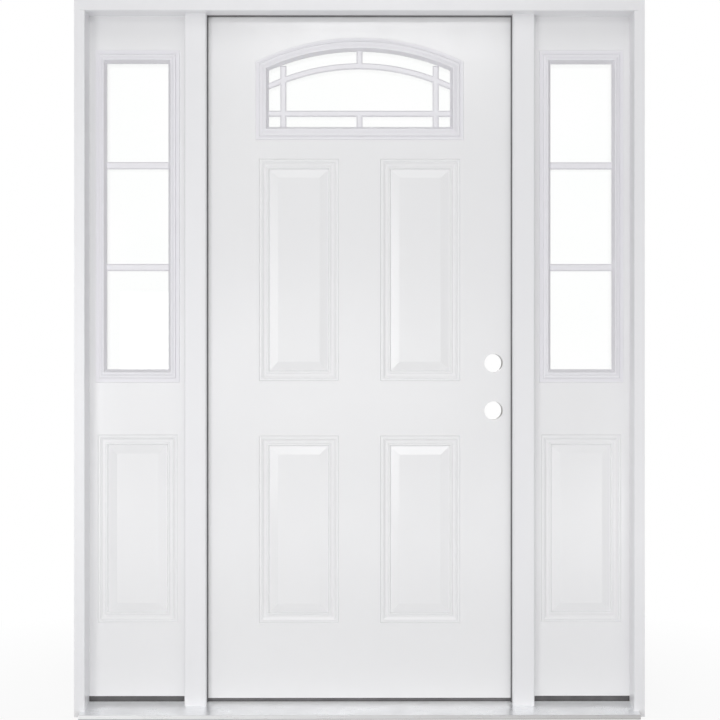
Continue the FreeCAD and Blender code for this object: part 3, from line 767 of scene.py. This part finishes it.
@dataclass
class Glazing(LitePart):
    """A sealed glass unit: two panes on a spacer, in the place of a glass node.

    Args:
        side_inset: How far the glass's edge lies inside the frame's at the sides.
        end_inset: The same at top and bottom.
        pane: A pane's thickness.
        spacer_back: How far the spacer lies inside the panes' edge.
        spacer_wide: Its width.
        clear: The gap to the frame's outer half.
    """

    side_inset: float
    end_inset: float
    pane: float = 3 * MM
    spacer_back: float = 1.5 * MM
    spacer_wide: float = 4 * MM
    clear: float = 0.15 * MM

    def outline(self, inset: float) -> list[Flat]:
        """Corners of the glass's edge, drawn inwards by inset."""
        return self.shape.outline(self.side_inset + inset, self.end_inset + inset)

    def build(self, finishes: Finishes) -> None:
        """Builds the panes and the spacer and dresses them."""
        node = self.label + "_glass"
        front, back = (corner[1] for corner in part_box(node))
        front += self.clear
        panes = bmesh.new()
        prism(panes, self.outline(0.0), front, front + self.pane)
        prism(panes, self.outline(0.0), back - self.pane, back)
        piece = mesh_piece(self.label + "_panes", panes, finishes["clear_float_glass"])
        settle(piece, self.body, Slot.GLASS, node)
        spacer = bmesh.new()
        insets = (self.spacer_back, self.spacer_back + self.spacer_wide)
        ring(spacer, *(self.outline(inset) for inset in insets), front + self.pane, back - self.pane)
        piece = mesh_piece(self.label + "_glass_spacer", spacer, finishes["spacer_metal"])
        settle(piece, self.body, Slot.ALUMINIUM)


@dataclass
class RoomFrame(LitePart):
    """The room side of a lite's frame, slim enough to stay hidden behind the outer side.

    Args:
        rim: Its width along the sides.
        stem: The width at which its stem goes through the panel.
        ends: How much wider it is at top and bottom, as a ratio.
    """

    rim: float
    stem: float
    ends: float

    def profile(self, seat: float, panel: float, crown: float) -> list[Flat]:
        """Its section: width in from the outer edge, and depth into the house.

        Args:
            seat: Where it rests on the glass.
            panel: The panel's room face.
            crown: Its highest point.

        Returns:
            Corners of the section, in order.
        """
        step, cove = panel + 3 * MM, panel + 5.4 * MM
        rim, ease = self.rim, 0.8 * MM
        return [
            (0.0, panel), (0.0, step - ease), (ease, step), (6.5 * MM, step), (8.2 * MM, cove - ease),
            (9.5 * MM, cove), (rim - 10 * MM, cove + 0.6 * MM), (rim - 7.5 * MM, crown - 0.7 * MM),
            (rim - 6 * MM, crown), (rim - 4 * MM, crown), (rim - 1.8 * MM, crown - 0.9 * MM),
            (rim, step), (rim, seat), (self.stem, seat), (self.stem, panel),
        ]

    def build(self, finishes: Finishes) -> None:
        """Builds the frame and dresses it."""
        node = self.label + "_lite_inner_frame"
        low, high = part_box(node)
        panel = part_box("door_inner_skin")[1][1]
        build = bmesh.new()
        rows = [
            [build.verts.new((x, depth, z)) for x, z in self.shape.outline(width, width * self.ends)]
            for width, depth in self.profile(low[1], panel, high[1])
        ]
        for row, after in neighbours(rows):
            band(build, row, after)
        piece = mesh_piece(self.label + "_room_frame", build, finishes["moulded_white_frame"])
        settle(piece, self.body, Slot.LITE_FRAME, node)


@dataclass
class LitePlugs(LitePart):
    """The plugs over the screws that draw the two halves of a lite's frame together.

    Args:
        inset: How far inside the frame's outline the plugs sit.
        depth: How far the face that they sit on lies behind the frame's crown.
        width: A plug's width.
        spacing: The space between plugs that is aimed at.
    """

    inset: float = 16 * MM
    depth: float = 3.6 * MM
    width: float = 9 * MM
    spacing: float = 0.17

    def spots(self) -> list[Spot]:
        """Even places along each run of the frame, on its room side."""
        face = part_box(self.label + "_lite_inner_frame")[1][1] - self.depth
        line = self.shape.outline(self.inset)
        runs = [[line[0], line[1]], [line[1], line[2]], line[2:], [line[-1], line[0]]]
        found: list[Spot] = []
        for run in runs:
            lengths = [0.0]
            for a, b in zip(run, run[1:]):
                lengths.append(lengths[-1] + math.dist(a, b))
            count = max(1, round(lengths[-1] / self.spacing))
            for k in range(count):
                want = lengths[-1] * (k + 0.5) / count
                step = next(i for i in range(1, len(lengths)) if lengths[i] >= want - 1e-9)
                share = (want - lengths[step - 1]) / (lengths[step] - lengths[step - 1])
                x, z = (a + (b - a) * share for a, b in zip(run[step - 1], run[step]))
                found.append(((x, face, z), (0.0, 1.0, 0.0)))
        return found

    def build(self, finishes: Finishes, rows: RowOfHeads, plug: bpy.types.Object, seed: int) -> None:
        """Builds the plugs and dresses them."""
        finish = finishes["moulded_white_frame"]
        piece = rows.run(self.label + "_lite_plugs", self.spots(), plug, self.width, finish, seed)
        settle(piece, self.body, Slot.LITE_FRAME)


@dataclass
class Hinges:
    """The screws of the three hinges.

    Args:
        names: The hinges, from the bottom up.
        rise: How far the outer screws sit from the middle one.
        near: How far into the house the outer ones sit on a leaf.
        far: The same for the middle one.
        width: A screw's width.
    """

    names: tuple[str, ...] = ("lower", "middle", "upper")
    rise: float = 33 * MM
    near: float = 12 * MM
    far: float = 22 * MM
    width: float = 8.6 * MM

    def spots(self, leaf: str, face: float, way: float) -> list[Spot]:
        """Three staggered screws on each hinge's leaf."""
        found: list[Spot] = []
        for name in self.names:
            low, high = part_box("%s_hinge_%s_leaf" % (name, leaf))
            middle = (low[2] + high[2]) / 2
            for rise, back in ((-self.rise, self.near), (0.0, self.far), (self.rise, self.near)):
                found.append(((face, low[1] + back, middle + rise), (way, 0.0, 0.0)))
        return found

    def build(self, finishes: Finishes, rows: RowOfHeads, screw: bpy.types.Object) -> None:
        """Builds the screws and dresses them."""
        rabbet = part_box("hinge_side_weatherstrip")[0][0]
        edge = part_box("door_hinge_stile")[0][0]
        leaves = ((Body.FRAME, rabbet, 1.0), (Body.DOOR, edge, -1.0))
        for seed, (body, face, way) in enumerate(leaves, 3):
            spots = self.spots(body.value, face, way)
            name = body.value + "_hinge_screws"
            piece = rows.run(name, spots, screw, self.width, finishes["screw_steel"], seed)
            settle(piece, body, Slot.HINGE)


@dataclass
class Weatherstrips:
    """Foam-filled strips in the frame's rabbet, which the closed slab presses on.

    Args:
        lip: The foot's depth along the rabbet's side.
        corner: The radius of its round corners.
        steps: How many straight pieces each is drawn in.
        squash: How many times as wide as deep the corner against the slab is.
        flat: The share of its reach at which it leaves the slab.
        hollow: The share at which the hollow behind it starts.
        gap: The space left to the slab's face.
    """

    lip: float = 4.6 * MM
    corner: float = 2.2 * MM
    steps: int = 5
    squash: float = 1.6
    flat: float = 0.35
    hollow: float = 0.2
    gap: float = 0.1 * MM

    def section(self, root: float, tip: float, low: float, high: float) -> list[Flat]:
        """The strip's section: a flat foot against the stop and a round cheek against the slab.

        Args:
            root: The rabbet's side.
            tip: The strip's free edge.
            low: The stop's end.
            high: The slab's face.

        Returns:
            Corners of width and depth, in order.
        """
        way = 1.0 if tip > root else -1.0
        reach = abs(tip - root)
        corner, wide = self.corner, self.corner * self.squash
        turns = [math.pi * k / (2 * self.steps) for k in range(self.steps + 1)]
        points = [(0.0, low), (reach - corner, low)]
        for turn in turns[1:]:
            points.append((reach - corner + corner * math.sin(turn), low + corner - corner * math.cos(turn)))
        for turn in turns:
            points.append((reach - wide + wide * math.cos(turn), high - corner + corner * math.sin(turn)))
        points += [(reach * self.flat, high), (reach * self.hollow, high - corner), (0.0, low + self.lip)]
        return [(root + way * across, depth) for across, depth in points]

    def build(self, finishes: Finishes) -> None:
        """Builds the three strips and dresses them."""
        seal = finishes["foam_filled_seal"]
        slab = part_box("door_outer_skin")[0][1] - self.gap
        for node, axis in (("hinge_side", 2), ("latch_side", 2), ("head", 0)):
            name = node + "_weatherstrip"
            low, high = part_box(name)
            build = bmesh.new()
            if axis == 2:
                root, tip = (low[0], high[0]) if low[0] < 0 else (high[0], low[0])
                prism(build, self.section(root, tip, low[1], slab), low[2], high[2], 2)
            else:
                outline = [(depth, across) for across, depth in self.section(high[2], low[2], low[1], slab)]
                prism(build, outline, low[0], high[0], 0)
            piece = mesh_piece(node + "_seal", build, seal)
            settle(piece, Body.FRAME, Slot.SEAL, name)


@dataclass
class DoorSweep:
    """Flexible fins under the slab, made as a row by Geometry Nodes.

    Args:
        fins: How many fins it has.
        fin_thick: The thickness of one.
        clear: The space between the fins and the threshold.
        base: The thickness of the strip that they hang from.
        root: How far under that strip's top they start.
    """

    fins: int = 5
    fin_thick: float = 1.6 * MM
    clear: float = 0.4 * MM
    base: float = 1.6 * MM
    root: float = 1.5 * MM

    @staticmethod
    def tree() -> GrowthSheet:
        """The tree that sets the fins in a row and joins them to the carrier."""
        kinds = {"Fins": "Int", "Start": "Vector", "Step": "Vector", "Fin size": "Vector"}
        sheet = GrowthSheet("sweep_fins", kinds)
        sockets = {"Count": sheet.given("Fins"), "Start Location": sheet.given("Start")}
        sockets["Offset"] = sheet.given("Step")
        line = sheet.node("GeometryNodeMeshLine", {"mode": "OFFSET"}, sockets)
        fin = sheet.node("GeometryNodeMeshCube", {}, {"Size": sheet.given("Fin size")}, "Mesh")
        row = sheet.node("GeometryNodeInstanceOnPoints", {}, {"Points": line, "Instance": fin})
        joined = sheet.node("GeometryNodeJoinGeometry", {}, {"Geometry": row})
        sheet.tree.links.new(sheet.entry.socket, joined.socket.node.inputs[0])
        sheet.close(joined)
        return sheet

    def build(self, finishes: Finishes) -> None:
        """Builds the sweep and dresses it."""
        low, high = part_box("door_sweep")
        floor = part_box("threshold_cap")[1][2] + self.clear
        seal = finishes["foam_filled_seal"]
        under = high[2] - self.base
        corners = [(low[1], under), (high[1], under), (high[1], high[2]), (low[1], high[2])]
        base = bmesh.new()
        prism(base, corners, low[0], high[0], 0)
        tall = high[2] - self.root - floor
        step = (high[1] - low[1] - self.fin_thick) / (self.fins - 1)
        values = {
            "Fins": self.fins,
            "Start": ((low[0] + high[0]) / 2, low[1] + self.fin_thick / 2, floor + tall / 2),
            "Step": (0.0, step, 0.0),
            "Fin size": (high[0] - low[0], self.fin_thick, tall),
            "Finish": seal,
        }
        piece = self.tree().grow("finned_sweep", mesh_piece("sweep_base", base, seal), values)
        settle(piece, Body.DOOR, Slot.SEAL, "door_sweep")


@dataclass
class Threshold:
    """The screws that raise and lower the threshold's cap.

    Args:
        screws: How many there are.
        margin: How far the outer ones sit from the cap's ends.
        width: A screw's width.
        sink: How far the screws are sunk into the cap.
    """

    screws: int = 4
    margin: float = 0.07
    width: float = 9.5 * MM
    sink: float = 0.1 * MM

    def build(self, finishes: Finishes, rows: RowOfHeads, screw: bpy.types.Object) -> None:
        """Builds the screws and dresses them."""
        low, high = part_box("threshold_cap")
        wide = high[0] - low[0] - 2 * self.margin
        middle, top = (low[1] + high[1]) / 2, high[2] - self.sink
        spots = [
            ((low[0] + self.margin + wide * k / (self.screws - 1), middle, top), (0.0, 0.0, 1.0))
            for k in range(self.screws)
        ]
        piece = rows.run("threshold_screws", spots, screw, self.width, finishes["satin_hinge_steel"], 5)
        settle(piece, Body.FRAME, Slot.SILL_CAP)


FINISH_BY_SLOT = {
    Slot.PAINTED_FRAME: "primed_board_upright",
    Slot.STEEL_SKIN: "factory_white_steel",
    Slot.LITE_FRAME: "moulded_white_frame",
    Slot.GRILLE: "moulded_white_bar",
    Slot.GLASS: "clear_float_glass",
    Slot.ALUMINIUM: "mill_aluminium_deck",
    Slot.SUBSTRATE: "pressed_fibre_core",
    Slot.SILL_CAP: "composite_sill_cap",
    Slot.SEAL: "foam_filled_seal",
    Slot.FOAM: "poured_foam",
    Slot.STILE: "planed_pine_upright",
    Slot.HINGE: "satin_hinge_steel",
}
FINISH_BY_NODE = {
    "head_jamb": "primed_board_across",
    "door_lock_block": "sealed_lock_block",
    "door_top_rail": "planed_pine_across",
    "door_bottom_rail": "planed_pine_across",
}


def dress_nodes(finishes: Finishes) -> None:
    """Gives each carried-over CAD node the finish of its own name or else of its slot."""
    for name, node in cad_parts.items():
        for holder in node.material_slots:
            slot = Slot(holder.material.name.split(".")[0])
            holder.material = finishes[FINISH_BY_NODE.get(name, FINISH_BY_SLOT[slot])]
        LOG.info("%s is dressed", name)


@dataclass(frozen=True)
class Lamp:
    """One soft lamp.

    Args:
        name: Its name.
        at: Its place.
        aim: What it points at.
        size: Its width and height, in metres.
        watts: Its power.
        through_glass: Whether it shows through the panes.
    """

    name: str
    at: Place
    aim: Place
    size: Flat
    watts: float
    through_glass: bool = True


LAMPS = (
    Lamp("key", (0.15, -8.0, 4.1), (0.0, 0.0, 1.0), (2.0, 0.8), 51.0),
    Lamp("left", (-2.6, -5.0, 1.15), (0.0, 0.0, 1.0), (1.1, 2.1), 22.8),
    Lamp("left_near", (-1.5, -2.6, 0.9), (0.0, 0.0, 1.0), (0.5, 1.2), 5.6),
    Lamp("low", (0.0, -2.6, 0.15), (0.0, 0.0, 0.7), (3.0, 0.6), 8.6),
    Lamp("front", (-0.3, -3.6, 1.0), (0.0, 0.0, 1.0), (2.0, 0.8), 8.8),
    Lamp("right", (2.8, -2.8, 1.1), (0.0, 0.0, 0.9), (1.0, 1.8), 2.1),
    Lamp("top_far", (0.0, -5.0, 6.8), (0.0, 0.0, 0.9), (3.0, 3.2), 93.8),
    Lamp("left_side", (-3.4, -1.3, 0.9), (0.0, 0.0, 0.9), (0.6, 1.6), 1.5),
    Lamp("low_right", (1.6, -2.4, 0.3), (0.3, 0.0, 0.5), (1.2, 0.5), 2.3),
    Lamp("rear", (0.8, 6.5, 2.4), (0.0, 0.0, 1.0), (3.0, 1.6), 90.0, False),
)


@dataclass
class Studio:
    """The floor, the light and the camera.

    Args:
        ambient: How bright the world is where it isn't seen.
        focal_pixels: The camera's focal length, in pixels of the picture.
        picture: The picture's width, in pixels.
        sensor: The sensor's width, in millimetres.
        eye: Where the camera stands.
        yaw: How far it turns, in degrees.
        clip: The nearest and the farthest that it sees.
        floor_radius: The floor's radius.
        floor_drop: How far the floor lies under the sill.
        fade: How far out the floor starts and ends to fade into the background.
        glow: How far it has faded already under the unit.
    """

    ambient: float = 0.362
    focal_pixels: float = 1422.7
    picture: int = 720
    sensor: float = 36.0
    eye: Place = (-0.0107, -4.1, 1.0291)
    yaw: float = -0.166
    clip: Flat = (0.05, 100.0)
    floor_radius: float = 5.5
    floor_drop: float = 0.2 * MM
    fade: Flat = (0.9, 2.0)
    glow: float = 0.88

    @staticmethod
    def seen(sheet: NodeSheet) -> Sock:
        """1 for rays that show the background, straight, mirrored or through glass, and 0 for others."""
        straight = sheet.node("ShaderNodeLightPath", output="Is Camera Ray")
        path = straight.socket.node.outputs
        mirrored = Sock(sheet, path["Is Glossy Ray"])
        through = Sock(sheet, path["Is Transmission Ray"])
        return straight.or_more(mirrored.or_more(through))

    def light_world(self) -> None:
        """A soft even light all round, and white where it is seen."""
        world = bpy.data.worlds.new("studio")
        bpy.context.scene.world = world
        world.use_nodes = True
        sheet = NodeSheet(world.node_tree)
        strength = self.seen(sheet) * (1 - self.ambient) + self.ambient
        light = sheet.node("ShaderNodeBackground", {}, {"Color": WHITE, "Strength": strength})
        sheet.node("ShaderNodeOutputWorld", {}, {"Surface": light})

    def lay_floor(self) -> None:
        """A pale floor that fades to the background and keeps the shadow."""
        build = bmesh.new()
        bmesh.ops.create_circle(build, cap_ends=True, segments=96, radius=self.floor_radius)
        for vert in build.verts:
            vert.co.z = -self.floor_drop
        sheet = MaterialSheet("pale_floor")
        reach = sheet.node("ShaderNodeVectorMath", {"operation": "LENGTH"}, {0: sheet.place}, "Value")
        fade = sheet.spread(reach, *self.fade, self.glow, 1.0)
        mottle = sheet.spread(sheet.noise(3.0, 3.0), 0.3, 0.7)
        tone = sheet.blend(mottle, srgb(250, 250, 250), srgb(247, 247, 247))
        cloth = sheet.node("ShaderNodeBsdfDiffuse", {}, {"Color": tone})
        glow = sheet.node("ShaderNodeEmission", {}, {"Color": WHITE, "Strength": 1.0})
        mixed = sheet.node("ShaderNodeMixShader", {}, {0: fade * self.seen(sheet), 1: cloth, 2: glow})
        sheet.node("ShaderNodeOutputMaterial", {}, {"Surface": mixed})
        mesh_piece("floor", build, sheet.material)

    @staticmethod
    def hang(lamp: Lamp) -> None:
        """Hangs one soft lamp, which the camera doesn't see."""
        data = bpy.data.lights.new(lamp.name, "AREA")
        data.shape = "RECTANGLE"
        data.size, data.size_y = lamp.size
        data.energy = lamp.watts
        holder = stand(lamp.name, data)
        holder.location = lamp.at
        way = Vector(lamp.aim) - Vector(lamp.at)
        holder.rotation_euler = way.to_track_quat("-Z", "Y").to_euler()
        holder.visible_camera = False
        holder.visible_transmission = lamp.through_glass

    def set_camera(self) -> None:
        """Sets the camera where the photograph was taken from."""
        data = bpy.data.cameras.new("camera")
        data.sensor_width = self.sensor
        data.lens = self.sensor * self.focal_pixels / self.picture
        data.clip_start, data.clip_end = self.clip
        camera = stand("camera", data)
        camera.location = self.eye
        camera.rotation_euler = (math.radians(90), 0.0, math.radians(self.yaw))
        bpy.context.scene.camera = camera

    def build(self) -> None:
        """Sets up the whole studio."""
        bpy.context.scene.view_settings.view_transform = "Standard"
        self.light_world()
        self.lay_floor()
        for lamp in LAMPS:
            self.hang(lamp)
        self.set_camera()
        LOG.info("studio is set")


@dataclass(frozen=True)
class Lite:
    """One lite, of which the CAD's outer frame and grille stay.

    Args:
        label: Its name.
        body: The body that it rides on.
        rim: The room frame's width along the sides.
        stem: The width at which the room frame's stem goes through the panel.
        radius: The radius of its arched top, or None for a square one.
    """

    label: str
    body: Body
    rim: float
    stem: float
    radius: float | None = None

    def shape(self) -> LiteShape:
        """Reads the outline off the outer frame's box."""
        low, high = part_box(self.label + "_lite_outer_frame")
        return LiteShape((low[0] + high[0]) / 2, (high[0] - low[0]) / 2, low[2], high[2], self.radius)

    def build(self, finishes: Finishes, rows: RowOfHeads, plug: bpy.types.Object, seed: int) -> None:
        """Builds the glass, the room frame and its plugs."""
        shape = self.shape()
        low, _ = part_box(self.label + "_glass")
        side, end = low[0] - (shape.centre - shape.half), low[2] - shape.low
        Glazing(self.label, self.body, shape, side, end).build(finishes)
        RoomFrame(self.label, self.body, shape, self.rim, self.stem, end / side).build(finishes)
        LitePlugs(self.label, self.body, shape).build(finishes, rows, plug, seed)


LITES = (
    Lite("door", Body.DOOR, 30 * MM, 27.4 * MM, 0.7007),
    Lite("left", Body.FRAME, 25 * MM, 21.4 * MM),
    Lite("right", Body.FRAME, 25 * MM, 21.4 * MM),
)


def main() -> None:
    """Builds the studio and every piece of the unit in order."""
    logging.basicConfig(level=logging.INFO, format="%(name)s %(message)s")
    Studio().build()
    finishes = Finishes()
    dress_nodes(finishes)
    rows = RowOfHeads()
    screw, plug = SCREW_HEAD.build(), PLUG_HEAD.build()
    for seed, lite in enumerate(LITES, 10):
        lite.build(finishes, rows, plug, seed)
    Hinges().build(finishes, rows, screw)
    Weatherstrips().build(finishes)
    DoorSweep().build(finishes)
    Threshold().build(finishes, rows, screw)
    for head in (screw, plug):
        bpy.data.objects.remove(head)


if __name__ == "__main__":
    main()
